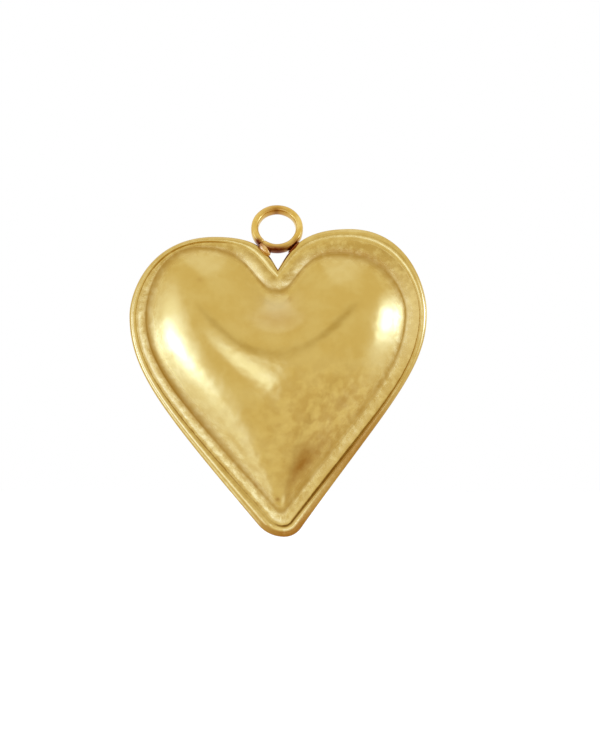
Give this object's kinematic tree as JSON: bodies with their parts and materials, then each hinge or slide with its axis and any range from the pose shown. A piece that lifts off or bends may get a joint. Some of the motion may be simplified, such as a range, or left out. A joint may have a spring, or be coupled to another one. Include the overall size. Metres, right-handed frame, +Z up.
{
  "type": "heart charm",
  "caption": "Puffed heart charm pressed from brass sheet, with an open hollow back, a grooved and beaded rim and a soldered ring at the top to hang it by.",
  "frame": {"origin": "middle of the hanging ring's hole", "axes": "+Z up towards the top of the ring as the charm hangs, -Y out of the puffed front, +X to the right seen from the front"},
  "size_m": [0.0284, 0.0077, 0.0319],
  "materials": {
    "brass_sheet": "pressed, tumbled to a soft shine, slightly worn and mottled",
    "brass_wire": "rolled wire, polished, browned on its inner and lower faces and beside its solder",
    "solder": "hard solder, left as it set and browned by the flame"
  },
  "bodies": {
    "root": {"heart_stamping": "brass_sheet", "hanging_ring": "brass_wire", "solder_left": "solder", "solder_right": "solder"}
  },
  "joints": []
}
